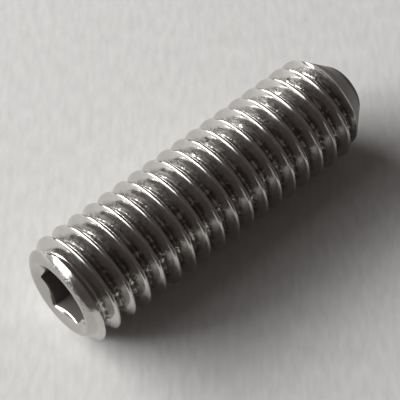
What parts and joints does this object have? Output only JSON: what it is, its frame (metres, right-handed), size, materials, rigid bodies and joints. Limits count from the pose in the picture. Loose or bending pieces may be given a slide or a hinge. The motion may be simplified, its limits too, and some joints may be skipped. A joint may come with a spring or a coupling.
{
  "type": "grub set screw",
  "caption": "Headless threaded steel set screw with a hexagon socket in one end and a hollow cup point on the other.",
  "frame": {"origin": "centre of the cup point's ring, on the plane the screw stands on", "axes": "+Z along the screw's axis, from the cup point up to the socket face; a corner of the hexagon socket points along -Y"},
  "size_m": [0.0058, 0.0058, 0.0197],
  "materials": {
    "steel": "plain bright rolled steel, smooth on the crests and faintly scuffed in the roots"
  },
  "bodies": {
    "root": {"screw": "steel"}
  },
  "joints": []
}
